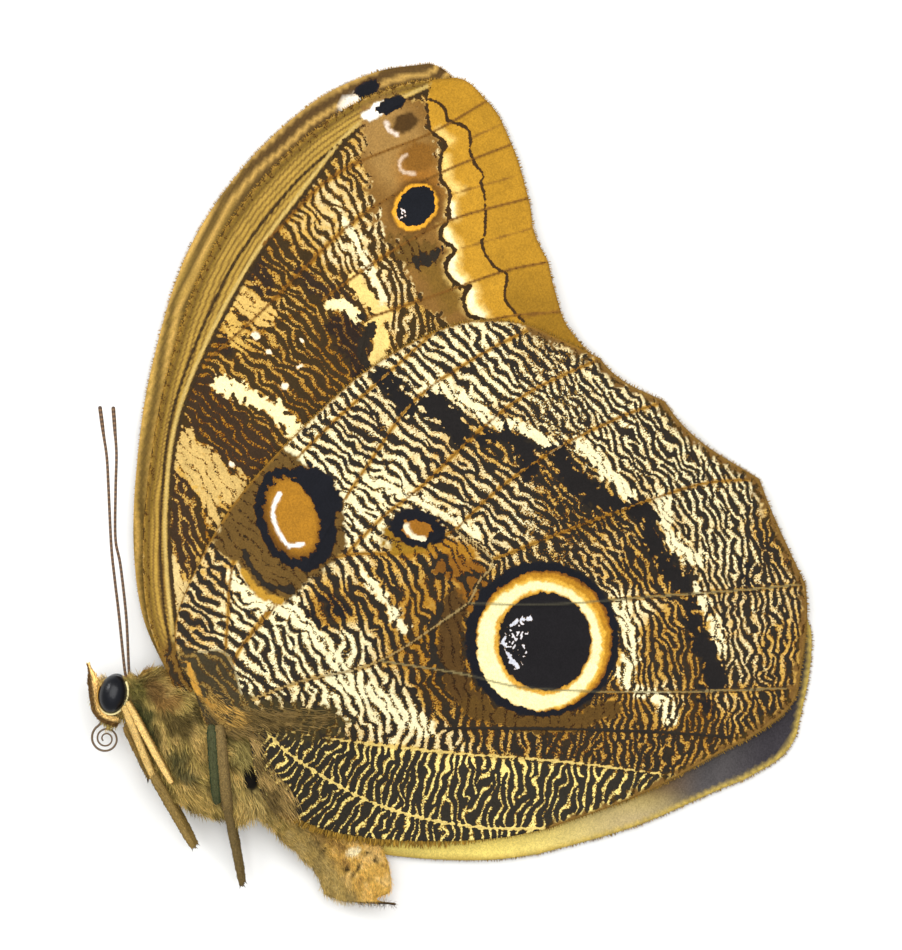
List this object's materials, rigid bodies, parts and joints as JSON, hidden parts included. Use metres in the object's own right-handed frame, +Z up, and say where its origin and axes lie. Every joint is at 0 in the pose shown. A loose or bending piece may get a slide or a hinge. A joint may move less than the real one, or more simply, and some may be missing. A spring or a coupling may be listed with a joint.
{
  "type": "owl butterfly specimen",
  "caption": "Life-size dried owl butterfly lying on its side with closed wings that show a large eyespot.",
  "frame": {"origin": "centre of the specimen's outline on the surface that it lies on", "axes": "+X from the head towards the hindwing's outer margin, +Y from the legs towards the forewing's tip, +Z up, from the animal's right side to its left"},
  "size_m": [0.0872, 0.103, 0.0112],
  "materials": {
    "wing_scales": "scaled wing membrane, matt with a faint sheen, brown, ochre and cream pattern",
    "body_fur": "dense olive-brown hair on the thorax, head and abdomen",
    "eye": "dark blue-black compound eye, finely faceted and glossy",
    "palp_scales": "appressed scales, brown outside and cream-yellow inside",
    "horn": "bare brown cuticle of the antennae and the coiled tongue",
    "leg_scales": "tan scales over brown cuticle"
  },
  "bodies": {
    "root": {"abdomen": "body_fur", "antenna_left": "horn", "antenna_right": "horn", "eye_left": "eye", "eye_right": "eye", "foreleg_left": "leg_scales", "foreleg_right": "leg_scales", "forewing_left": "wing_scales", "forewing_right": "wing_scales", "head": "body_fur", "hindleg_left": "leg_scales", "hindleg_right": "leg_scales", "hindwing_left": "wing_scales", "hindwing_right": "wing_scales", "midleg_left": "leg_scales", "midleg_right": "leg_scales", "palp_left": "palp_scales", "palp_right": "palp_scales", "proboscis": "horn", "thorax": "body_fur"}
  },
  "joints": []
}
